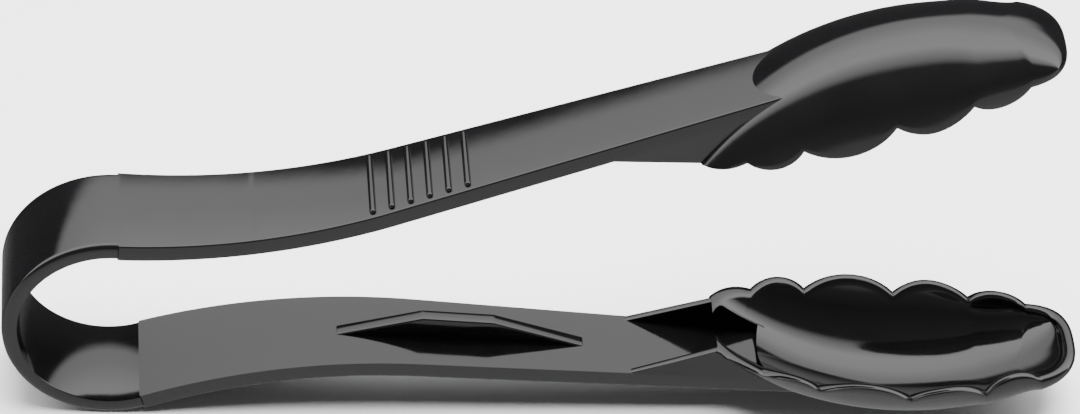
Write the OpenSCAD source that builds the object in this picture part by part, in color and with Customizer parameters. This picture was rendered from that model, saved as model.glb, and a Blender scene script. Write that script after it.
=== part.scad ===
// Spring loaded kitchen tongs, moulded in one piece from a glossy black plastic.
// The upper and lower halves mirror each other about the plane Z = 0 of the
// "spring frame": X runs from the back of the bow to the spoon tips, and the two
// arms open along Z. place() then tips the whole tongs nose up until the bow and
// the lower spoon's crown both touch the table, which is Z = 0 of the row frame.

/* [Spring bow] */
// Outer radius of the bow
bow_r = 22.8; // [16:0.1:28]
// Wall thickness of the bow
bow_t = 3.3; // [2.4:0.1:4.2]
// How far each end of the bow turns past square, in degrees
bow_turn = 11.4; // [6:0.5:14]
// Width of the bow
band_w = 24.8; // [20:0.2:30]

/* [Arms] */
// Wall thickness of an arm
arm_t = 3.6; // [2.6:0.1:4.2]
// Outer radius of the slow reverse bend
bend_r = 141; // [110:1:180]
// Slope of the straight part of an arm, in degrees
arm_rise = 12.2; // [10:0.5:15]
// Back of the bow to the end of the arm's flat outer face
neck_x = 162; // [135:1:195]
// Width of an arm where it meets its spoon
neck_w = 17.2; // [14:0.2:21]

/* [Grip ribs] */
// Number of ribs on each arm
rib_count = 6; // [3:1:8]
// Back of the bow to the first rib
rib_start = 80.4; // [70:0.2:96]
// Distance from rib to rib
rib_pitch = 4.04; // [2.4:0.02:5]
// Radius of a rib's rounded top
rib_r = 0.7; // [0.5:0.05:1]
// Height of a rib above the arm
rib_h = 0.85; // [0.4:0.05:0.95]
// Bare strip between a rib's end and the arm's edge
rib_margin = 1.3; // [0.8:0.1:3]

/* [Stiffening fin] */
// Back of the bow to the start of the fin
fin_start = 68.7; // [60:0.5:80]
// Length of the fin's rising ramp
fin_rise = 17.3; // [8:0.5:24]
// Length of the fin's level top
fin_top = 15; // [4:0.5:24]
// Length of the fin's falling ramp
fin_fall = 19.5; // [8:0.5:26]
// Height of the fin above the arm's inner face
fin_h = 4.8; // [2:0.1:8]
// Thickness of the fin
fin_t = 3.2; // [1.6:0.1:5]

/* [Neck flanges] */
// Length of a flange's sloping edge
flange_len = 19.4; // [10:0.2:24]
// Highest point of a flange, back from the end of the arm
flange_peak = 12.6; // [11:0.2:15]
// Thickness of a flange
flange_t = 1.6; // [1.2:0.1:2.4]

/* [Spoons] */
// Radius of the spoon's back, seen from the side
crown_r = 67; // [60:0.1:76]
// Slope at which the spoon's back leaves the arm, in degrees
crown_entry = 32; // [29:0.5:35]
// How far the spoon's back starts above the arm's outer face
crown_step = 0.25; // [-0.5:0.05:1]
// Radius of the spoon, seen from the end
spoon_r = 20; // [17:0.5:24]
// Wall thickness of the spoon
spoon_t = 2.2; // [1.6:0.1:2.6]
// End of the arm to the spoon's tip
spoon_len = 64.5; // [58:0.5:70]
// Radius of the rounded tip, seen from above
tip_r = 12.5; // [10:0.1:14]
// Angle at which the sides run in to the tip
nose_angle = 19.5; // [14:0.5:26]
// Depth of the rim line below the highest point of the back
rim_depth = 9.5; // [8:0.1:12]
// Radius of the slow curve that the rim line follows
rim_r = 200; // [150:1:240]
// Highest point of the rim line, measured on from the crown
rim_shift = 27; // [20:0.5:30]
// Width of the rim's first lobe, at the neck
lobe_1_w = 9; // [8:0.1:12]
// Width of the second lobe
lobe_2_w = 11.8; // [10:0.1:14]
// Width of the third lobe
lobe_3_w = 19.4; // [16:0.1:23]
// Width of the fourth lobe
lobe_4_w = 16.3; // [14:0.1:19]
// Width of the fifth lobe, at the tip
lobe_5_w = 12.3; // [10:0.1:15]
// Arc of circle that the first lobe shows, in degrees
lobe_1_arc = 44; // [30:1:70]
// Arc of circle that each of the other lobes shows, in degrees
lobe_arc = 74; // [50:1:100]

/* [Hidden] */
$fn = 96;
CUT = 1;              // overshoot of a cutting solid
FAR = 60;             // reach of a cutting solid past everything it cuts
TIP_PLAIN = 8.7;      // plain rim left between the last lobe and the tip
NECK_BRIDGE = 11;     // reach of the arm's strip into the spoon's wall
SWEEP_FROM = 48;      // where the spoon's sweep starts, up from level
SWEEP = 108;          // angle that the spoon's wall is swept through
BLACK = "#2b2b2c";

ARMS = ["upper", "lower"];
SIDES = ["left", "right"];

// ---- Path of an arm's outer face: bow arc, reverse bend, straight ----
seam_x = bow_r * (1 + sin(bow_turn));
seam_z = bow_r * cos(bow_turn);
bend_x = seam_x + bend_r * sin(bow_turn);
bend_z = seam_z + bend_r * cos(bow_turn);
straight_x = bend_x + bend_r * sin(arm_rise);
straight_z = bend_z - bend_r * cos(arm_rise);

// Height of the arm's outer face, and its slope
function outer_z(x) = x < straight_x
    ? bend_z - sqrt(pow(bend_r, 2) - pow(x - bend_x, 2))
    : straight_z + (x - straight_x) * tan(arm_rise);
function slope(x) = x < straight_x ? asin((x - bend_x) / bend_r) : arm_rise;
// A point at depth d inside the arm's outer face, as [x, z]
function inside(x, d) = [x + d * sin(slope(x)), outer_z(x) - d * cos(slope(x))];
// Half width of the arm, which tapers from the bow to the neck
function half_w(x) = (band_w + (neck_w - band_w) * (x - seam_x) / (neck_x - seam_x)) / 2;

// ---- Spoon: a wall swept round a crossways axis ----
neck = [neck_x, outer_z(neck_x)];
crown_x = neck_x + crown_r * sin(crown_entry);
crown_z = neck[1] + crown_step - crown_r * cos(crown_entry);
crown_top = crown_z + crown_r;
tip_x = neck_x + spoon_len;
tip_z = crown_z + sqrt(pow(crown_r, 2) - pow(tip_x - crown_x, 2));
rim_x = crown_x + rim_shift;
rim_top = crown_top - rim_depth;
function rim_z(x) = rim_top - rim_r + sqrt(pow(rim_r, 2) - pow(x - rim_x, 2));
// The lobes share out whatever length lies between the flange and the tip
lobe_w = [lobe_1_w, lobe_2_w, lobe_3_w, lobe_4_w, lobe_5_w];
function run(list, n) = n == 0 ? 0 : list[n - 1] + run(list, n - 1);
scallop_x = neck_x - flange_peak;
scallop_k = (tip_x - TIP_PLAIN - scallop_x) / run(lobe_w, len(lobe_w));
function valley(i) = let (x = scallop_x + scallop_k * run(lobe_w, i)) [x, rim_z(x)];

// ---- Rest pose: the bow and the lower crown stand on one level line ----
rest_dx = crown_x - bow_r;
rest_dz = -crown_z;
rest_tilt = asin((crown_r - bow_r) / norm([rest_dx, rest_dz])) - atan2(rest_dz, rest_dx);
lift = bow_r * (1 - sin(rest_tilt));
back_x = bow_r * (cos(rest_tilt) - 1);
front_x = tip_x * cos(rest_tilt) + tip_z * sin(rest_tilt);

module place() {
    translate([-(back_x + front_x) / 2, 0, lift]) rotate([0, -rest_tilt, 0]) children();
}

// Draws its child as the upper half, or mirrored as the lower half
module half(arm) {
    if (arm == "upper") place() children();
    if (arm == "lower") place() mirror([0, 0, 1]) children();
}

// Draws a child that is the same on both sides as the upper half, or turned over
// about X as the lower half
module turned_half(arm) {
    if (arm == "upper") place() children();
    if (arm == "lower") place() rotate([180, 0, 0]) children();
}

// Draws its child on the left side, or mirrored on the right
module side(s) {
    if (s == "left") children();
    if (s == "right") mirror([0, 1, 0]) children();
}

// Extrudes a side view, drawn in X and Z, across the width w
module across(w) {
    translate([0, w / 2, 0]) rotate([90, 0, 0]) linear_extrude(w) children();
}

// ---- Side views ----
// The bow, from one witness line round its back to the other
module bow_2d() {
    reach = FAR * [sin(bow_turn), cos(bow_turn)];
    intersection() {
        translate([bow_r, 0]) difference() {
            circle(bow_r);
            circle(bow_r - bow_t);
        }
        polygon([
            [bow_r, 0], [bow_r, 0] + reach, [-CUT, FAR],
            [-CUT, -FAR], [bow_r + reach[0], -reach[1]]
        ]);
    }
}

// What lies between the mid-plane and the arm's face at depth `off`
module strip_fill_2d(off, x_end, past) {
    along = [cos(bow_turn), -sin(bow_turn)];
    down = [sin(bow_turn), cos(bow_turn)];
    a = [seam_x, seam_z] - off * down - past * along;
    b = inside(x_end, off) + past * [cos(arm_rise), sin(arm_rise)];
    difference() {
        polygon([
            a,
            inside(straight_x, off),
            b,
            [b[0] + b[1] * tan(arm_rise), 0],
            [a[0] - a[1] * tan(bow_turn), 0]
        ]);
        translate([bend_x, bend_z]) circle(bend_r + off, $fn = 360);
    }
}

// The arm's strip, from the witness line to a line square to it at x_end
module strip_2d(x_end) {
    difference() {
        strip_fill_2d(0, x_end, 0);
        strip_fill_2d(arm_t, x_end, CUT);
    }
}

// Top view of an arm, taken in from its edges by `inset`
module arm_plan_2d(inset) {
    x_start = seam_x - arm_t;
    x_end = neck_x + FAR / 2;
    polygon([
        [x_start, -half_w(x_start) + inset],
        [x_end, -half_w(x_end) + inset],
        [x_end, half_w(x_end) - inset],
        [x_start, half_w(x_start) - inset]
    ]);
}

module arm_plan(inset = 0) {
    translate([0, 0, -FAR]) linear_extrude(3 * FAR) arm_plan_2d(inset);
}

// ---- Spoon solids ----
// The spoon filled in, `off` inside its outer face
module spoon_fill(off = 0) {
    intersection() {
        translate([crown_x, 0, crown_z]) rotate([90, 0, 0]) rotate([0, 0, SWEEP_FROM])
            rotate_extrude(angle = SWEEP, $fn = 180)
                translate([crown_r - spoon_r, 0]) circle(spoon_r - off, $fn = 96);
        translate([0, 0, -FAR]) linear_extrude(3 * FAR) spoon_plan_2d(off);
    }
}

// Top view of the spoon: straight sides that run in to a round tip
module spoon_plan_2d(off) {
    r = tip_r - off;
    c = [tip_x - tip_r, 0];
    touch = c + r * [sin(nose_angle), cos(nose_angle)];
    wide = [touch[0] - FAR * cos(nose_angle), touch[1] + FAR * sin(nose_angle)];
    translate(c) circle(r);
    polygon([
        touch, wide, [scallop_x - FAR / 4, wide[1]],
        [scallop_x - FAR / 4, -wide[1]], [wide[0], -wide[1]], [touch[0], -touch[1]]
    ]);
}

// Side view of what lies above the scalloped rim
module rim_2d() {
    difference() {
        translate([scallop_x, rim_z(scallop_x)]) square([spoon_len + FAR, FAR]);
        translate([rim_x, rim_top - rim_r]) circle(rim_r, $fn = 360);
    }
    for (i = [0:len(lobe_w) - 1]) {
        a = valley(i);
        b = valley(i + 1);
        arc = i == 0 ? lobe_1_arc : lobe_arc;
        r = norm(b - a) / 2 / sin(arc / 2);
        up = [a[1] - b[1], b[0] - a[0]] / norm(b - a);
        translate((a + b) / 2 + up * r * cos(arc / 2)) circle(r);
    }
}

// The channel under the arm's end, between its side faces
module neck_channel() {
    intersection() {
        arm_plan();
        across(2 * FAR) polygon([
            [scallop_x - FAR / 2, outer_z(scallop_x - FAR / 2)],
            neck,
            inside(neck_x, FAR),
            inside(scallop_x - FAR / 2, FAR)
        ]);
    }
}

// ---- Pieces ----
module spring_bow() {
    color(BLACK) place() across(band_w) bow_2d();
}

module arm(a) {
    color(BLACK) half(a) intersection() {
        across(2 * FAR) strip_2d(neck_x);
        arm_plan();
    }
}

module spoon(a) {
    bridge = NECK_BRIDGE * [cos(arm_rise), sin(arm_rise)];
    color(BLACK) turned_half(a) difference() {
        union() {
            intersection() {
                spoon_fill();
                across(2 * FAR) rim_2d();
            }
            intersection() {
                arm_plan();
                across(2 * FAR) polygon([
                    neck,
                    neck + bridge,
                    inside(neck_x, arm_t) + bridge,
                    inside(neck_x, arm_t)
                ]);
            }
        }
        spoon_fill(spoon_t);
        neck_channel();
    }
}

module arm_fin(a) {
    x1 = fin_start + fin_rise;
    x2 = x1 + fin_top;
    x3 = x2 + fin_fall;
    color(BLACK) half(a) difference() {
        across(fin_t) polygon([
            inside(fin_start, arm_t),
            inside(x1, arm_t + fin_h),
            inside(x2, arm_t + fin_h),
            inside(x3, arm_t),
            inside(x2, arm_t / 2),
            inside(x1, arm_t / 2)
        ]);
        across(2 * FAR) strip_2d(neck_x);
    }
}

module neck_flange(a, s) {
    start = scallop_x - flange_len;
    color(BLACK) half(a) side(s) difference() {
        intersection() {
            arm_plan();
            across(2 * FAR) intersection() {
                polygon([
                    inside(start, arm_t),
                    valley(0),
                    [valley(0)[0], 0],
                    [neck_x + arm_t, 0],
                    inside(neck_x, arm_t)
                ]);
                union() {
                    rim_2d();
                    translate([start - CUT, 0]) square([scallop_x - start + CUT, FAR]);
                }
                polygon([
                    inside(start - CUT, arm_t),
                    inside(start, FAR),
                    inside(neck_x, FAR),
                    inside(neck_x, arm_t)
                ]);
            }
        }
        arm_plan(flange_t);
        translate([0, -2 * FAR, -FAR]) cube([6 * FAR, 2 * FAR, 4 * FAR]);
        spoon_fill(spoon_t);
    }
}

// Half of a rib's outline, from its middle line out to its rounded top and ends
module rib_2d(reach) {
    intersection() {
        translate([0, -reach - rib_r]) square([rib_r, 2 * (reach + rib_r)]);
        union() {
            translate([0, -reach]) square([rib_r, 2 * reach]);
            translate([0, -reach]) circle(rib_r, $fn = 32);
            translate([0, reach]) circle(rib_r, $fn = 32);
        }
    }
}

module grip_rib(a, i) {
    x = rib_start + (i - 1) * rib_pitch;
    color(BLACK) half(a) translate([x, 0, outer_z(x)]) rotate([0, -slope(x), 0]) difference() {
        translate([0, 0, rib_h - rib_r]) rotate([90, 0, 0])
            rotate_extrude($fn = 32) rib_2d(half_w(x) - rib_margin - rib_r);
        translate([-FAR / 2, -FAR / 2, -FAR]) cube(FAR);
    }
}

spring_bow();
for (a = ARMS) {
    arm(a);
    spoon(a);
    arm_fin(a);
    for (s = SIDES) {
        neck_flange(a, s);
    }
    for (i = [1:rib_count]) {
        grip_rib(a, i);
    }
}
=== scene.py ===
"""One-piece scalloped kitchen tongs: a spring bow, two ribbed arms and two spoon jaws.

Every piece is modelled in millimetres in the spring frame: X from the back of the
bow to the spoon tips, Z up from the plane that mirrors the two halves. Lines.table
then stands it in metres on its bow and its lower spoon.
"""

from math import acos, asin, atan2, cos, hypot, pi, radians, sin, sqrt, tan

import bmesh
import bpy
from mathutils import Matrix, Vector


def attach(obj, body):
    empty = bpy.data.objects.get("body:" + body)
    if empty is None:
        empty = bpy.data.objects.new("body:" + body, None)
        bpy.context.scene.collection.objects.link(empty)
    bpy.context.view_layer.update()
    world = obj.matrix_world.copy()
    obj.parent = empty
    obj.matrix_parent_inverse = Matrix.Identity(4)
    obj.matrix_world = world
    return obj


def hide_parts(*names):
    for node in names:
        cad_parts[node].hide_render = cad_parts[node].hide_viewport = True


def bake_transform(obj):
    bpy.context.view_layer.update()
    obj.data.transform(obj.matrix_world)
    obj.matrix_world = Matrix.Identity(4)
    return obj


bl_info = {
    "name": "Scalloped Tongs",
    "version": (1, 0, 0),
    "blender": (4, 5, 0),
    "location": "View3D > Sidebar > Tongs",
    "description": "Builds one-piece scalloped kitchen tongs and their studio",
    "category": "Object",
}

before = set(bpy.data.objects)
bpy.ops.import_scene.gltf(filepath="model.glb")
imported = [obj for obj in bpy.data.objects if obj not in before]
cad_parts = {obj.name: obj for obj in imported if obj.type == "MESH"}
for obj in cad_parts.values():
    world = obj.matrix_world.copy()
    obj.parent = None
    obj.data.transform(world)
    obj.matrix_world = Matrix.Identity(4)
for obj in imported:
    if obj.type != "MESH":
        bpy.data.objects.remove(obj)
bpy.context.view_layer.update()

HALVES = ("upper", "lower")
MM = 0.001


# ---- Sizes and colours that a user would change ----


def length(name, description, default_mm, low, high):
    """A length property that is stored in metres and given here in millimetres."""
    return bpy.props.FloatProperty(
        name=name, description=description, default=default_mm * MM, min=low * MM,
        max=high * MM, subtype="DISTANCE", unit="LENGTH", precision=5,
    )


def angle(name, description, default_deg, low, high):
    """An angle property, given here in degrees."""
    return bpy.props.FloatProperty(
        name=name, description=description, default=radians(default_deg),
        min=radians(low), max=radians(high), subtype="ANGLE", unit="ROTATION",
    )


class TONGS_PG_bow(bpy.types.PropertyGroup):
    """Sizes of the spring bow."""

    radius: length("Radius", "Outer radius of the bow", 22.8, 16, 28)
    wall: length("Wall", "Thickness of the bow", 3.3, 2.4, 4.2)
    turn: angle("Turn", "How far each end of the bow turns past square", 11.4, 6, 14)
    width: length("Width", "Width of the bow", 24.8, 20, 30)


class TONGS_PG_arm(bpy.types.PropertyGroup):
    """Sizes of the arms, with their ribs, fins and flanges."""

    wall: length("Wall", "Thickness of an arm", 3.6, 2.6, 4.2)
    bend: length("Bend", "Outer radius of the slow reverse bend", 141, 110, 180)
    rise: angle("Rise", "Slope of the straight part of an arm", 12.2, 10, 15)
    reach: length("Reach", "Back of the bow to the end of the arm", 162, 135, 195)
    neck: length("Neck", "Width of an arm at its spoon", 17.2, 14, 21)
    edge: length("Edge", "Radius of the outer edges", 1.35, 0.3, 1.6)
    rib_count: bpy.props.IntProperty(
        name="Ribs", description="Ribs on each arm", default=6, min=3, max=8
    )
    rib_start: length("Rib start", "Back of the bow to the first rib", 80.4, 70, 96)
    rib_pitch: length("Rib pitch", "Distance from rib to rib", 4.04, 2.4, 5)
    rib_radius: length("Rib radius", "Radius of a rib's rounded top", 0.7, 0.5, 1)
    rib_height: length("Rib height", "Height of a rib above the arm", 0.85, 0.4, 0.95)
    rib_margin: length("Rib margin", "Bare strip at a rib's ends", 1.3, 0.8, 3)
    fin_height: length("Fin height", "Height of the fin above the arm", 4.8, 2, 8)
    fin_wall: length("Fin wall", "Thickness of the fin", 3.2, 1.6, 5)
    flange_start: length("Flange start", "Back of the bow to a flange's start", 130, 120, 140)
    flange_peak: length("Flange peak", "End of the arm back to a flange's peak", 12.6, 11, 15)
    flange_wall: length("Flange wall", "Thickness of a flange", 1.6, 1.2, 2.4)


class TONGS_PG_spoon(bpy.types.PropertyGroup):
    """Sizes of the spoon jaws."""

    crown: length("Crown", "Radius of the spoon's back, seen from the side", 67, 60, 76)
    entry: angle("Entry", "Slope at which the back leaves the arm", 32, 29, 35)
    step: length("Step", "How far the back starts above the arm's face", 0.25, -0.5, 1)
    radius: length("Radius", "Radius of the spoon, seen from the end", 20, 17, 24)
    wall: length("Wall", "Wall thickness of the spoon", 2.2, 1.6, 2.6)
    length: length("Length", "End of the arm to the spoon's tip", 64.5, 58, 70)
    tip_long: length("Tip length", "Length of the rounded tip, seen from above", 14.5, 12, 17)
    tip_wide: length("Tip width", "Half width of the rounded tip", 13.5, 11, 15)
    rim_depth: length("Rim depth", "Rim line below the highest point of the back", 9.5, 8, 12)
    rim_bend: length("Rim bend", "Radius of the slow curve of the rim line", 200, 150, 240)
    rim_shift: length("Rim shift", "Highest point of the rim line past the crown", 27, 20, 30)


class TONGS_PG_finish(bpy.types.PropertyGroup):
    """Colour and gloss of the plastic."""

    colour: bpy.props.FloatVectorProperty(
        name="Colour", description="Pigment of the plastic", subtype="COLOR", size=3,
        default=(0.0030, 0.0030, 0.0032), min=0, max=1,
    )
    roughness: bpy.props.FloatProperty(
        name="Roughness", description="Mean roughness of the moulded surface",
        default=0.085, min=0, max=1, subtype="FACTOR",
    )


LOBES = (9.0, 11.8, 19.4, 16.3, 12.3)  # shares of the rim that the lobes take
LOBE_ARCS = (24, 72, 70, 76, 92)  # degrees of circle that each lobe shows
TIP_PLAIN = 8.7  # plain rim between the last lobe and the tip


def mm(group, name):
    """A length property in millimetres."""
    return getattr(group, name) / MM


# ---- Lines that the pieces share, in the spring frame ----


class Lines:
    """The outlines that more than one piece follows, worked out from the sizes."""

    def __init__(self, scene):
        self.bow, self.arm, self.spoon = scene.tongs_bow, scene.tongs_arm, scene.tongs_spoon
        r, turn = mm(self.bow, "radius"), self.bow.turn
        self.bend_r, self.rise = mm(self.arm, "bend"), self.arm.rise
        self.seam = Vector((r * (1 + sin(turn)), 0, r * cos(turn)))
        self.bend = self.seam + self.bend_r * Vector((sin(turn), 0, cos(turn)))
        self.straight = self.bend + self.bend_r * Vector((sin(self.rise), 0, -cos(self.rise)))
        self.neck_x = mm(self.arm, "reach")
        self.half_bow, self.half_neck = mm(self.bow, "width") / 2, mm(self.arm, "neck") / 2
        self.neck_z = self.outer_z(self.neck_x)
        s = self.spoon
        self.crown_r, self.tube = mm(s, "crown"), mm(s, "radius")
        self.crown = Vector((
            self.neck_x + self.crown_r * sin(s.entry), 0,
            self.neck_z + mm(s, "step") - self.crown_r * cos(s.entry),
        ))
        self.tip_x = self.neck_x + mm(s, "length")
        self.rim_x = self.crown.x + mm(s, "rim_shift")
        self.rim_top = self.crown.z + self.crown_r - mm(s, "rim_depth")
        self.rim_r = mm(s, "rim_bend")
        self.scallop_x = self.neck_x - mm(self.arm, "flange_peak")
        share = (self.tip_x - TIP_PLAIN - self.scallop_x) / sum(LOBES)
        xs = [self.scallop_x + share * sum(LOBES[:i]) for i in range(len(LOBES) + 1)]
        self.valleys = [Vector((x, 0, self.rim_line(x))) for x in xs]

        dx, dz = self.crown.x - r, -self.crown.z
        self.tilt = asin((self.crown_r - r) / hypot(dx, dz)) - atan2(dz, dx)
        back = r * (cos(self.tilt) - 1)
        tip_z = self.crown.z + sqrt(self.crown_r**2 - (self.tip_x - self.crown.x) ** 2)
        front = self.tip_x * cos(self.tilt) + tip_z * sin(self.tilt)
        shift = Vector((-(back + front) / 2, 0, r * (1 - sin(self.tilt))))
        self.table = (
            Matrix.Scale(MM, 4) @ Matrix.Translation(shift) @ Matrix.Rotation(-self.tilt, 4, "Y")
        )

    def outer_z(self, x):
        """Height of the arm's outer face."""
        if x < self.straight.x:
            return self.bend.z - sqrt(self.bend_r**2 - (x - self.bend.x) ** 2)
        return self.straight.z + (x - self.straight.x) * tan(self.rise)

    def slope(self, x):
        """Slope of the arm's outer face."""
        return asin((x - self.bend.x) / self.bend_r) if x < self.straight.x else self.rise

    def inside(self, x, depth):
        """The point at a depth below the arm's outer face."""
        a = self.slope(x)
        return Vector((x + depth * sin(a), 0, self.outer_z(x) - depth * cos(a)))

    def half_width(self, x):
        """Half the width of the strap, which tapers from the bow to the neck."""
        f = (x - self.seam.x) / (self.neck_x - self.seam.x)
        return self.half_bow + (self.half_neck - self.half_bow) * f

    def rim_line(self, x):
        """Height of the smooth line that carries the rim's valleys."""
        return self.rim_top - self.rim_r + sqrt(self.rim_r**2 - (x - self.rim_x) ** 2)

    def rim(self, x):
        """Height of the scalloped rim."""
        for a, b, arc in zip(self.valleys, self.valleys[1:], LOBE_ARCS):
            if a.x <= x <= b.x:
                chord, half = b - a, radians(arc / 2)
                r = chord.length / 2 / sin(half)
                up = Vector((-chord.z, 0, chord.x)) / chord.length
                centre = (a + b) / 2 + up * r * cos(half)
                return centre.z - sqrt(max(0.0, r * r - (x - centre.x) ** 2))
        return self.rim_line(x)


# ---- Mesh helpers ----


def spring_mesh(name, bm, lines, half, smooth_below=38):
    """Makes an object at the origin from a bmesh in the spring frame."""
    bmesh.ops.remove_doubles(bm, verts=bm.verts, dist=0.001)
    if half == "lower":
        bmesh.ops.scale(bm, vec=(1, 1, -1), verts=bm.verts)
    bmesh.ops.recalc_face_normals(bm, faces=bm.faces)
    bmesh.ops.transform(bm, matrix=lines.table, verts=bm.verts)
    mesh = bpy.data.meshes.new(name)
    bm.to_mesh(mesh)
    bm.free()
    mesh.shade_smooth()
    mesh.set_sharp_from_angle(angle=radians(smooth_below))
    obj = bpy.data.objects.new(name, mesh)
    bpy.context.collection.objects.link(obj)
    return obj


def round_edges(bm, edges, radius, segments=4):
    """Rounds the given edges."""
    bmesh.ops.bevel(
        bm, geom=edges, offset=radius, offset_type="OFFSET", segments=segments,
        profile=0.5, affect="EDGES", clamp_overlap=True, material=-1,
    )


def plate(bm, outline):
    """One face through the given points."""
    return bm.faces.new([bm.verts.new(p) for p in outline])


def extrude(bm, face):
    """Extrudes a face in place; returns the new corners."""
    raised = bmesh.ops.extrude_face_region(bm, geom=[face])
    return [g for g in raised["geom"] if isinstance(g, bmesh.types.BMVert)]


def close_holes(bm):
    """Fills every open loop with one face."""
    bmesh.ops.holes_fill(bm, edges=[e for e in bm.edges if e.is_boundary], sides=0)


def finish_piece(obj, material, *nodes, body=None):
    """Gives a piece its material and the solids that it stands for."""
    obj.data.materials.append(material)
    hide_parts(*nodes)
    if body:
        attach(obj, body)
    return obj


# ---- Pieces ----

NEAR = 0.01  # how close two measures are to count as the same, mm
BOW_INNER_EDGE, ARM_INNER_EDGE, FIN_EDGE, WEB_EDGE = 0.3, 0.25, 0.3, 0.28  # edge radii, mm
STRAP_TOP_END, STRAP_UNDER_END = 5.8, -3.4  # where the strap's two faces end past the neck, mm
FIN_CORNERS = (68.7, 86.0, 101.0, 120.5)  # back of the bow to each corner of a fin, mm
FIN_SUNK, WEB_SUNK = 1.2, 0.8  # how deep a fin and a web stand in the strap, mm
WEB_BELOW = 3.75  # how far below the line of the spoon's back a web's end lies, mm
WEB_STEPS = (1.2, 4, 7, 10, 12.4)  # degrees along the back from the web's peak to its end


def bow_half(lines, half):
    """Half of the spring bow, from its back to the witness line at an arm."""
    r, wall, w = mm(lines.bow, "radius"), mm(lines.bow, "wall"), lines.half_bow
    bm = bmesh.new()
    face = plate(bm, [(0, -w, 0), (0, w, 0), (wall, w, 0), (wall, -w, 0)])
    bmesh.ops.spin(
        bm, geom=[face, *face.edges, *face.verts], cent=(r, 0, 0), axis=(0, 1, 0),
        angle=pi / 2 + lines.bow.turn, steps=56, use_merge=False,
    )

    def along(e, radius):
        p, q = (v.co for v in e.verts)
        return all(
            abs(abs(c.y) - w) < NEAR and abs(hypot(c.x - r, c.z) - radius) < NEAR for c in (p, q)
        ) and abs(p.y - q.y) < NEAR < (p - q).length

    outer = [e for e in bm.edges if along(e, r)]
    inner = [e for e in bm.edges if along(e, r - wall)]
    round_edges(bm, outer, mm(lines.arm, "edge"), 6)
    round_edges(bm, [e for e in inner if e.is_valid], BOW_INNER_EDGE, 2)
    return spring_mesh(f"{half}_bow_half", bm, lines, half)


def arm_strap(lines, half):
    """The strap of an arm, from the witness line to inside the spoon's wall."""
    wall, turn = mm(lines.arm, "wall"), lines.bow.turn
    down = Vector((-sin(turn), 0, -cos(turn))) * wall
    a, b = lines.seam, lines.seam + down
    bm = bmesh.new()
    face = plate(bm, [(a.x, -1, a.z), (a.x, 1, a.z), (b.x, 1, b.z), (b.x, -1, b.z)])
    swept = bmesh.ops.spin(
        bm, geom=[face, *face.edges, *face.verts], cent=lines.bend, axis=(0, 1, 0),
        angle=-(turn + lines.rise), steps=64, use_merge=False,
    )
    end = [g for g in swept["geom_last"] if isinstance(g, bmesh.types.BMFace)]
    ahead = Vector((cos(lines.rise), 0, sin(lines.rise)))
    last = bmesh.ops.extrude_face_region(bm, geom=end)
    tip = [g for g in last["geom"] if isinstance(g, bmesh.types.BMVert)]
    # the end slants so that both of its edges lie within the spoon's wall
    for v in tip:
        past = STRAP_TOP_END if v.co.z > lines.straight.z - wall / 2 else STRAP_UNDER_END
        v.co += ahead * ((lines.neck_x + past - v.co.x) / ahead.x)
    bmesh.ops.delete(bm, geom=end, context="FACES_ONLY")
    for v in bm.verts:
        v.co.y *= lines.half_width(v.co.x)

    def long_edge(e, outer):
        p, q = (v.co for v in e.verts)
        if p.y * q.y <= 0 or abs(p.x - q.x) < NEAR or hypot(p.x - q.x, p.z - q.z) < 0.3:
            return False
        mid = (p + q) / 2
        depth = abs(lines.outer_z(mid.x) - mid.z) * cos(lines.slope(mid.x))
        on_end = min(p.x, q.x) > lines.neck_x - 4 and abs(p.z - q.z) > 1.5
        return not on_end and (depth < wall / 2) == outer

    outer = [e for e in bm.edges if long_edge(e, True)]
    inner = [e for e in bm.edges if long_edge(e, False)]
    round_edges(bm, outer, mm(lines.arm, "edge"), 6)
    round_edges(bm, [e for e in inner if e.is_valid], ARM_INNER_EDGE, 2)
    return spring_mesh(f"{half}_arm_strap", bm, lines, half)


ACROSS = 20  # faces from the crown line to the rim
PINNED_ROW = 6  # rows of them that run straight beside the neck's channel
NOSE_RIBS = 40  # ribs that fan out round each side of the tip
LIP = 6  # faces round the rounded edge of the rim
LIP_HIGH = 0.75  # how far the rounded edge stands out, mm
NOSE_KNEE = 0.40  # share of the nose ribs that lie before the last valley
CHANNEL = 7.9  # half width of the channel that the strap closes, mm
NECK_CUT = 127.3  # where the shell starts between the flanges, degrees round the crown
TIP_SQUARE = 2.7  # how square the tip is, seen from above
NOSE_RUN = 0.30  # how fast the rim runs in towards the tip
FOOT_RUN = 7.5  # how far the feet of the nose ribs run on along the crown line, mm
FOOT_EASE = 4.8  # how soon they do
SIDE_BLEND = 1.0  # how softly the side runs over into the tip, mm
RIB_SPACING = 0.7  # between ribs, degrees round the crown
SHOULDER = 2.25  # how square the shoulder is round the tip


def fan_angle(lines):
    """Angle of the last rib square to the crown line; from there they fan out."""
    valley = lines.valleys[-2]
    return atan2(valley.z - lines.crown.z, valley.x - lines.crown.x)


def soft_min(a, b, width):
    """The smaller of two lengths, rounded where they cross."""
    h = max(0.0, min(1.0, 0.5 + (b - a) / (2 * width)))
    return b + (a - b) * h - width * h * (1 - h)


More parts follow.
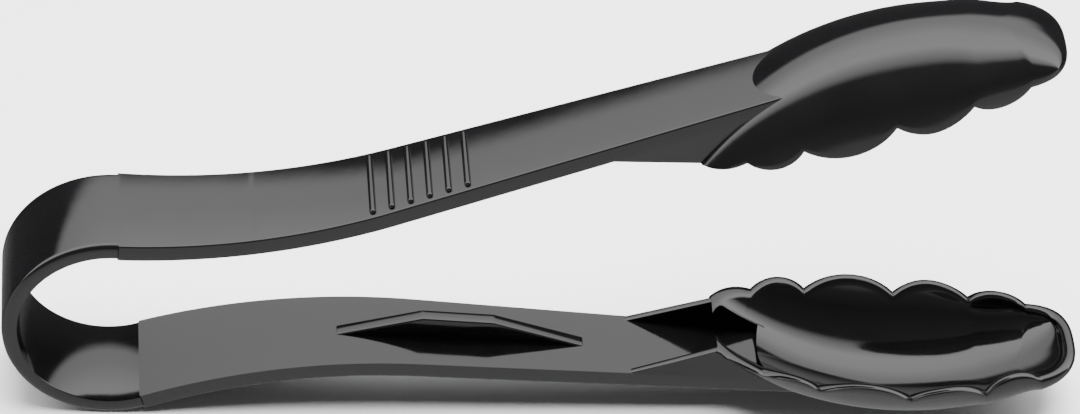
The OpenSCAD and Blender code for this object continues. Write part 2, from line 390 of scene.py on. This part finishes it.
def rib_ends(lines, kind, value, depth):
    """Crown point, rim point and outward direction of one rib, and how square it is."""
    a = value if kind == "body" else fan_angle(lines)
    crown_r, tube = lines.crown_r - depth, lines.tube - depth
    heart = crown_r - tube
    out = Vector((cos(a), 0, sin(a)))
    top = lines.crown + out * crown_r
    low, high = heart * 0.7, crown_r
    for _ in range(48):
        q = (low + high) / 2
        p = lines.crown + out * q
        low, high = (q, high) if p.z < lines.rim(p.x) else (low, q)
    rim = lines.crown + out * q
    tip_wide, tip_long = mm(lines.spoon, "tip_wide") - depth, mm(lines.spoon, "tip_long") - depth
    centre_x = lines.tip_x - depth - tip_long
    knee_x = lines.valleys[-1].x
    knee_share = ((knee_x - centre_x) / tip_long) ** TIP_SQUARE
    knee_y = tip_wide * (1 - knee_share) ** (1 / TIP_SQUARE)
    side_y = knee_y + max(0.0, knee_x - rim.x) * NOSE_RUN
    rim.y = soft_min(sqrt(max(0.0, tube**2 - (q - heart) ** 2)), side_y, SIDE_BLEND)
    square = max(0.0, min(1.0, (rim.x - lines.crown.x) / (knee_x - lines.crown.x)))
    if kind == "body":
        return top, rim, out, square
    a -= FOOT_RUN * (1 - (1 - value) ** FOOT_EASE) / lines.crown_r
    out = Vector((cos(a), 0, sin(a)))
    top = lines.crown + out * crown_r
    if value < NOSE_KNEE:
        x = rim.x + (knee_x - rim.x) * value / NOSE_KNEE
        y = rim.y + (knee_y - rim.y) * value / NOSE_KNEE
    else:
        first = acos(((knee_x - centre_x) / tip_long) ** (TIP_SQUARE / 2))
        theta = first * (1 - (value - NOSE_KNEE) / (1 - NOSE_KNEE))
        x = centre_x + tip_long * cos(theta) ** (2 / TIP_SQUARE)
        y = tip_wide * max(0.0, sin(theta)) ** (2 / TIP_SQUARE)
    square = max(square, min(1.0, (x - lines.crown.x) / (knee_x - lines.crown.x)))
    return top, Vector((x, y, lines.rim(x))), out, square


def rib_point(lines, ends, depth, row):
    """A point on a rib, row 0 at the crown line and row ACROSS at the rim."""
    top, rim, out, square = ends
    ahead = Vector((out.z, 0, -out.x))
    rel = rim - top
    u, y, fall = rel.dot(ahead), rel.y, -rel.dot(out)
    reach = hypot(u, y)
    crosswise = (y / reach) ** 2
    bend = crosswise / (lines.tube - depth) + (1 - crosswise) / (lines.crown_r - depth)
    beta = acos(max(0.06, min(1.0, reach**2 * bend / fall - 1)))
    kept = 1 - LIP_HIGH / 2 / (lines.tube * beta)
    pinned = min(asin(CHANNEL / lines.tube) / beta, 0.9) / kept
    t = pinned * row / PINNED_ROW if row <= PINNED_ROW else (
        pinned + (1 - pinned) * (row - PINNED_ROW) / (ACROSS - PINNED_ROW)
    )
    t *= kept
    mix = square**2 * (3 - 2 * square)
    side = sin(beta * t) / sin(beta) * (1 - mix) + sin(t * pi / 2) ** (2 / SHOULDER) * mix
    drop = (1 - cos(beta * t)) / (1 - cos(beta)) * (1 - mix) + (
        1 - max(0.0, cos(t * pi / 2)) ** (2 / SHOULDER)
    ) * mix
    return top + (ahead * u + Vector((0, y, 0))) * side - out * fall * drop


def lip_point(lines, face, skin, wall, turn):
    """A point round the rounded edge that joins the outer and the inner face."""
    a, b = rib_point(lines, face, 0.0, ACROSS), rib_point(lines, skin, wall, ACROSS)
    before = rib_point(lines, face, 0.0, ACROSS - 1)
    along = (a - before).normalized()
    return (a + b) / 2 + (a - b) / 2 * cos(turn) + along * LIP_HIGH * sin(turn)


def spoon_shell(lines, half):
    """A spoon: one sheet from its crown line over the scalloped rim and back into the bowl."""
    wall, crown, fan = mm(lines.spoon, "wall"), lines.crown, fan_angle(lines)
    angles = [atan2(v.z - crown.z, v.x - crown.x) for v in lines.valleys]
    stops = sorted({*[a for a in angles if a > fan + 0.01], radians(NECK_CUT), fan}, reverse=True)
    stations = []
    for a, b in zip(stops, stops[1:]):
        steps = max(4, round((a - b) / radians(RIB_SPACING)))
        stations += [("body", a + (b - a) * i / steps) for i in range(steps)]
    stations += [("body", fan)] + [("nose", i / NOSE_RIBS) for i in range(1, NOSE_RIBS + 1)]
    cut_at = next(i for i, (_, a) in enumerate(stations) if a <= radians(NECK_CUT) + 1e-6)
    ribs = [[rib_ends(lines, *s, depth) for s in stations] for depth in (0.0, wall)]
    count = 2 * len(stations) - 1
    rows = 2 * ACROSS + LIP

    bm = bmesh.new()
    bmesh.ops.create_grid(bm, x_segments=count - 1, y_segments=rows, size=1)
    channel = []
    for f in bm.faces:
        c = f.calc_center_median()
        i, j = int((c.x + 1) / 2 * (count - 1)), int((c.y + 1) / 2 * rows)
        if min(i, count - 2 - i) < cut_at and min(j, rows - 1 - j) < PINNED_ROW:
            channel.append(f)
    bmesh.ops.delete(bm, geom=channel, context="FACES")
    for v in bm.verts:  # the grid's columns are the ribs, from one neck side round to the other
        i, j = round((v.co.x + 1) / 2 * (count - 1)), round((v.co.y + 1) / 2 * rows)
        station = min(i, count - 1 - i)
        face, skin = ribs[0][station], ribs[1][station]
        if j <= ACROSS:
            p = rib_point(lines, face, 0.0, j)
        elif j >= ACROSS + LIP:
            p = rib_point(lines, skin, wall, rows - j)
        else:
            p = lip_point(lines, face, skin, wall, pi * (j - ACROSS) / LIP)
        v.co = (p.x, p.y if i <= count // 2 else -p.y, p.z)
    bmesh.ops.remove_doubles(bm, verts=bm.verts, dist=0.002)
    gaps = [e for e in bm.edges if e.is_boundary]
    bmesh.ops.bridge_loops(bm, edges=gaps)
    return spring_mesh(f"{half}_spoon_shell", bm, lines, half, 40)


def stiffening_fin(lines, half):
    """The fin along the middle of an arm's inner face."""
    arm = lines.arm
    wall, high, w = mm(arm, "wall"), mm(arm, "fin_height"), mm(arm, "fin_wall") / 2
    xs = FIN_CORNERS
    sunk = [lines.inside(x, wall - FIN_SUNK) for x in reversed(xs)]
    top = [lines.inside(xs[0], wall), lines.inside(xs[1], wall + high),
           lines.inside(xs[2], wall + high), lines.inside(xs[3], wall)]
    bm = bmesh.new()
    face = plate(bm, [p + Vector((0, -w, 0)) for p in top + sunk])
    bmesh.ops.translate(bm, vec=(0, 2 * w, 0), verts=extrude(bm, face))
    bmesh.ops.delete(bm, geom=[face], context="FACES_ONLY")
    close_holes(bm)
    round_edges(bm, bm.edges[:], FIN_EDGE, 3)
    return spring_mesh(f"{half}_stiffening_fin", bm, lines, half, 30)


def neck_flange(lines, half, side):
    """The web that stiffens one side of a neck."""
    wall, thick = mm(lines.arm, "wall"), mm(lines.arm, "flange_wall")
    start, peak, crown = mm(lines.arm, "flange_start"), lines.valleys[0], lines.crown
    first = atan2(peak.z - crown.z + 0.2, peak.x - crown.x)
    angles = [first - radians(step) for step in WEB_STEPS]
    arc = [crown + (lines.crown_r - WEB_BELOW) * Vector((cos(a), 0, sin(a))) for a in angles]
    outline = [lines.inside(start, wall - WEB_SUNK), lines.inside(start, wall + 0.02),
               peak, *arc, lines.inside(arc[-1].x - 1.5, wall - WEB_SUNK)]
    bm = bmesh.new()
    face = plate(bm, outline)
    outer = extrude(bm, face)
    for v in bm.verts:
        v.co.y = lines.half_width(v.co.x) - (0.02 if v in outer else thick)
    bmesh.ops.delete(bm, geom=[face], context="FACES_ONLY")
    close_holes(bm)
    free = [
        e for e in bm.edges
        if all(v.co.x < peak.x + 0.5 for v in e.verts) and e.calc_length() > thick + 1
    ]
    round_edges(bm, free, WEB_EDGE, 2)
    if side == "right":
        bmesh.ops.scale(bm, vec=(1, -1, 1), verts=bm.verts)
    return spring_mesh(f"{half}_{side}_neck_web", bm, lines, half, 30)


def grip_rib(lines, half, number):
    """One raised rib: a half-round bar with round ends."""
    arm = lines.arm
    x = mm(arm, "rib_start") + (number - 1) * mm(arm, "rib_pitch")
    r, high = mm(arm, "rib_radius"), mm(arm, "rib_height")
    reach = lines.half_width(x) - mm(arm, "rib_margin") - r
    bm = bmesh.new()
    bmesh.ops.create_uvsphere(bm, u_segments=24, v_segments=16, radius=r)
    bmesh.ops.rotate(bm, cent=(0, 0, 0), matrix=Matrix.Rotation(pi / 2, 3, "X"), verts=bm.verts)
    ends = [v for v in bm.verts if abs(v.co.y) < 1e-4]
    middle = [e for e in bm.edges if all(v in ends for v in e.verts)]
    bmesh.ops.split_edges(bm, edges=middle)
    for v in bm.verts:
        far = sum(f.calc_center_median().y for f in v.link_faces)
        v.co.y += reach if far > 0 else -reach
    open_edges = [e for e in bm.edges if e.is_boundary]
    bmesh.ops.bridge_loops(bm, edges=open_edges)
    bmesh.ops.bisect_plane(
        bm, geom=[*bm.verts, *bm.edges, *bm.faces], plane_co=(0, 0, r - high - 0.2),
        plane_no=(0, 0, 1), clear_inner=True,
    )
    close_holes(bm)
    place = Matrix.Translation((x, 0, lines.outer_z(x))) @ Matrix.Rotation(-lines.slope(x), 4, "Y")
    bmesh.ops.transform(bm, matrix=place @ Matrix.Translation((0, 0, high - r)), verts=bm.verts)
    return spring_mesh(f"{half}_rib_{number}", bm, lines, half, 60)


# ---- Materials ----


def linear(hexa):
    """An sRGB hex colour as linear RGBA."""
    parts = [int(hexa.lstrip("#")[i : i + 2], 16) / 255 for i in (0, 2, 4)]
    return (*[c / 12.92 if c <= 0.04045 else ((c + 0.055) / 1.055) ** 2.4 for c in parts], 1.0)


def add_node(tree, kind, settings=None, links=None):
    """Adds a node, sets its sockets and attributes, and links what feeds it."""
    node = tree.nodes.new(kind)
    for key, value in (settings or {}).items():
        if isinstance(key, int) or key in node.inputs:
            node.inputs[key].default_value = value
        else:
            setattr(node, key, value)
    for socket, source in (links or {}).items():
        tree.links.new(source, node.inputs[socket])
    return node


MIX_A, MIX_B = 6, 7  # the colour sockets of the Mix node


def noise(tree, where, size_mm, settings):
    """A noise pattern whose features are about size_mm across."""
    settings = {"Scale": 1 / (size_mm * MM), **settings}
    return add_node(tree, "ShaderNodeTexNoise", settings, {"Vector": where}).outputs["Fac"]


def remap(tree, value, source, target):
    """A value moved from one range to another."""
    settings = {
        "From Min": source[0], "From Max": source[1], "To Min": target[0], "To Max": target[1],
    }
    return add_node(tree, "ShaderNodeMapRange", settings, {"Value": value}).outputs[0]


def polycarbonate(name, finish, grain, waviness, scuffs):
    """Injection-moulded black polycarbonate.

    The mould's polish gives sharp, slightly rippled reflections; the ripple is the
    plastic shrinking as it sets, and the faint cloud in the gloss is its flow front.
    """
    if name in bpy.data.materials:
        return bpy.data.materials[name]
    mat = bpy.data.materials.new(name)
    mat.use_nodes = True
    tree = mat.node_tree
    tree.nodes.clear()
    where = add_node(tree, "ShaderNodeTexCoord").outputs["Object"]
    cloud = noise(tree, where, 9, {"Detail": 3.0})
    fine = noise(tree, where, 0.5, {"Detail": 2.0})
    stretch = add_node(tree, "ShaderNodeMapping", {"Scale": (0.06, 1.0, 1.0)}, {"Vector": where})
    streak = noise(tree, stretch.outputs[0], 0.9, {"Detail": 4.0, "Roughness": 0.6})
    r = finish.roughness
    gloss = remap(tree, cloud, (0.3, 0.75), (r * 0.85, r * 1.3))
    rub = remap(tree, streak, (0.52, 0.8), (0.0, scuffs))
    rough = add_node(tree, "ShaderNodeMath", {"operation": "ADD"}, {0: gloss, 1: rub})
    c = finish.colour
    dark, pale = (c[0] * 0.8, c[1] * 0.8, c[2] * 0.8, 1), (c[0] * 1.6, c[1] * 1.6, c[2] * 1.65, 1)
    tone = add_node(
        tree, "ShaderNodeMix", {"data_type": "RGBA", MIX_A: dark, MIX_B: pale}, {0: cloud}
    )
    ripple = add_node(
        tree, "ShaderNodeBump", {"Strength": waviness, "Distance": 0.25 * MM}, {"Height": cloud}
    )
    skin = add_node(
        tree, "ShaderNodeBump", {"Strength": grain, "Distance": 0.02 * MM},
        {"Height": fine, "Normal": ripple.outputs[0]},
    )
    bsdf = add_node(
        tree, "ShaderNodeBsdfPrincipled", {"IOR": 1.585},
        {"Base Color": tone.outputs[2], "Roughness": rough.outputs[0], "Normal": skin.outputs[0]},
    )
    add_node(tree, "ShaderNodeOutputMaterial", links={"Surface": bsdf.outputs[0]})
    return mat


def strap_finish(finish):
    """Strap faces: moulded against a ground steel face, with faint flow streaks."""
    return polycarbonate("Moulded polycarbonate, strap faces", finish, 0.12, 0.10, 0.05)


def spoon_finish(finish):
    """Spoon faces: moulded against a mirror-polished cavity."""
    return polycarbonate("Moulded polycarbonate, polished spoon", finish, 0.06, 0.06, 0.02)


def rib_finish(finish):
    """Ribs, fins and webs: the same plastic, a little rubbed on its proud edges."""
    return polycarbonate("Moulded polycarbonate, ribs and webs", finish, 0.15, 0.05, 0.07)


# ---- Operators ----


class TONGS_OT_bow(bpy.types.Operator):
    """Builds the spring bow in two halves"""

    bl_idname = "tongs.bow"
    bl_label = "Spring Bow"

    def execute(self, context):
        lines = Lines(context.scene)
        r = mm(lines.bow, "radius")
        for half in HALVES:
            obj = bow_half(lines, half)
            finish_piece(obj, strap_finish(context.scene.tongs_finish), "spring_bow")
            if half == "upper":
                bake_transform(obj)
            else:
                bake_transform(obj)
        return {"FINISHED"}


class TONGS_OT_arms(bpy.types.Operator):
    """Builds the two straps"""

    bl_idname = "tongs.arms"
    bl_label = "Arms"

    def execute(self, context):
        lines = Lines(context.scene)
        for half in HALVES:
            finish_piece(
                arm_strap(lines, half), strap_finish(context.scene.tongs_finish),
                f"{half}_arm", body=f"{half}_jaw",
            )
        return {"FINISHED"}


class TONGS_OT_spoons(bpy.types.Operator):
    """Builds the two scalloped spoons"""

    bl_idname = "tongs.spoons"
    bl_label = "Spoons"

    def execute(self, context):
        lines = Lines(context.scene)
        for half in HALVES:
            finish_piece(
                spoon_shell(lines, half), spoon_finish(context.scene.tongs_finish),
                f"{half}_spoon", body=f"{half}_jaw",
            )
        return {"FINISHED"}


class TONGS_OT_fins(bpy.types.Operator):
    """Builds the stiffening fin of each arm"""

    bl_idname = "tongs.fins"
    bl_label = "Stiffening Fins"

    def execute(self, context):
        lines = Lines(context.scene)
        for half in HALVES:
            finish_piece(
                stiffening_fin(lines, half), rib_finish(context.scene.tongs_finish),
                f"{half}_arm_fin", body=f"{half}_jaw",
            )
        return {"FINISHED"}


class TONGS_OT_flanges(bpy.types.Operator):
    """Builds the webs at both sides of each neck"""

    bl_idname = "tongs.flanges"
    bl_label = "Neck Flanges"

    def execute(self, context):
        lines = Lines(context.scene)
        for half in HALVES:
            for side in ("left", "right"):
                finish_piece(
                    neck_flange(lines, half, side), rib_finish(context.scene.tongs_finish),
                    f"{half}_{side}_neck_flange", body=f"{half}_jaw",
                )
        return {"FINISHED"}


class TONGS_OT_ribs(bpy.types.Operator):
    """Builds the grip ribs on both outer faces"""

    bl_idname = "tongs.ribs"
    bl_label = "Grip Ribs"

    def execute(self, context):
        lines = Lines(context.scene)
        for half in HALVES:
            for number in range(1, lines.arm.rib_count + 1):
                finish_piece(
                    grip_rib(lines, half, number), rib_finish(context.scene.tongs_finish),
                    f"{half}_grip_rib_{number}", body=f"{half}_jaw",
                )
        return {"FINISHED"}


SKY = (  # degrees over the object from the far horizon, and brightness there
    (-180, 0.75), (-140, 0.95), (-100, 0.8), (-60, 0.4), (-25, 0.06), (27, 0.05),
    (32, 1.9), (40, 2.2), (60, 3.8), (78, 4.4), (96, 2.2), (104, 0.15), (150, 0.1),
    (172, 0.25), (180, 0.75),
)
CAMERA_AT = (115.0, -939.2, 778.7)  # in the spring frame, mm
CAMERA_AXES = (  # right, up and back
    (0.99478, -0.06455, -0.07907), (0.10211, 0.62941, 0.77034), (0.0, -0.77440, 0.63270),
)


class TONGS_OT_studio(bpy.types.Operator):
    """Sets the pale floor, the soft light and the camera"""

    bl_idname = "tongs.studio"
    bl_label = "Studio"

    def execute(self, context):
        world = bpy.data.worlds.new("Soft studio")
        context.scene.world = world
        world.use_nodes = True
        tree = world.node_tree
        tree.nodes.clear()
        toward = add_node(tree, "ShaderNodeTexCoord").outputs["Generated"]
        split = add_node(tree, "ShaderNodeSeparateXYZ", links={0: toward})
        over = add_node(
            tree, "ShaderNodeMath", {"operation": "ARCTAN2"},
            {0: split.outputs["Z"], 1: split.outputs["Y"]},
        )
        share = remap(tree, over.outputs[0], (-pi, pi), (0.0, 1.0))
        ramp = add_node(tree, "ShaderNodeValToRGB", links={0: share})
        stops = ramp.color_ramp.elements
        for stop, (at, level) in zip((stops[0], stops[1]), (SKY[0], SKY[-1])):
            stop.position = (at + 180) / 360
            stop.color = (level, level, level, 1)
        for at, level in SKY[1:-1]:
            stops.new((at + 180) / 360).color = (level, level, level, 1)
        sky = add_node(tree, "ShaderNodeBackground", {"Strength": 1.0}, {"Color": ramp.outputs[0]})
        add_node(tree, "ShaderNodeOutputWorld", links={"Surface": sky.outputs[0]})

        bm = bmesh.new()
        bmesh.ops.create_grid(bm, x_segments=1, y_segments=1, size=4)
        mesh = bpy.data.meshes.new("floor")
        bm.to_mesh(mesh)
        bm.free()
        floor = bpy.data.objects.new("floor", mesh)
        context.collection.objects.link(floor)
        floor.visible_glossy = False
        paper = bpy.data.materials.new("White paper sweep")
        paper.use_nodes = True
        sheet = paper.node_tree.nodes["Principled BSDF"].inputs
        sheet["Base Color"].default_value = linear("#f6f6f6")
        sheet["Roughness"].default_value = 0.7
        mesh.materials.append(paper)

        lamp = bpy.data.lights.new("overhead softbox", "AREA")
        lamp.shape, lamp.size, lamp.energy = "DISK", 1.6, 100
        softbox = bpy.data.objects.new("overhead softbox", lamp)
        softbox.location = (0.1, 0.1, 1.7)
        softbox.visible_glossy = False
        context.collection.objects.link(softbox)

        data = bpy.data.cameras.new("camera")
        data.sensor_width, data.lens = 36, 192.57
        camera = bpy.data.objects.new("camera", data)
        context.collection.objects.link(camera)
        right, up, back = CAMERA_AXES
        lines = Lines(context.scene)
        turn = Matrix.Rotation(-lines.tilt, 4, "Y")
        axes = Matrix((right, up, back)).transposed().to_4x4()
        camera.matrix_world = Matrix.Translation(lines.table @ Vector(CAMERA_AT)) @ turn @ axes
        context.scene.camera = camera
        return {"FINISHED"}


class TONGS_PT_panel(bpy.types.Panel):
    """Lists the builders"""

    bl_idname = "TONGS_PT_panel"
    bl_label = "Scalloped Tongs"
    bl_space_type = "VIEW_3D"
    bl_region_type = "UI"
    bl_category = "Tongs"

    def draw(self, context):
        for group in ("tongs_bow", "tongs_arm", "tongs_spoon", "tongs_finish"):
            box = self.layout.box()
            settings = getattr(context.scene, group)
            for name in settings.__annotations__:
                box.prop(settings, name)
        for operator in BUILDERS:
            self.layout.operator(operator.bl_idname)


GROUPS = {
    "tongs_bow": TONGS_PG_bow, "tongs_arm": TONGS_PG_arm,
    "tongs_spoon": TONGS_PG_spoon, "tongs_finish": TONGS_PG_finish,
}
BUILDERS = (
    TONGS_OT_studio, TONGS_OT_bow, TONGS_OT_arms, TONGS_OT_spoons,
    TONGS_OT_fins, TONGS_OT_flanges, TONGS_OT_ribs,
)


def register():
    for cls in (*GROUPS.values(), *BUILDERS, TONGS_PT_panel):
        bpy.utils.register_class(cls)
    for name, cls in GROUPS.items():
        setattr(bpy.types.Scene, name, bpy.props.PointerProperty(type=cls))


def unregister():
    for name in GROUPS:
        delattr(bpy.types.Scene, name)
    for cls in reversed((*GROUPS.values(), *BUILDERS, TONGS_PT_panel)):
        bpy.utils.unregister_class(cls)


def main():
    """Builds everything."""
    register()
    for operator in BUILDERS:
        group, name = operator.bl_idname.split(".")
        getattr(getattr(bpy.ops, group), name)()


if __name__ == "__main__":
    main()
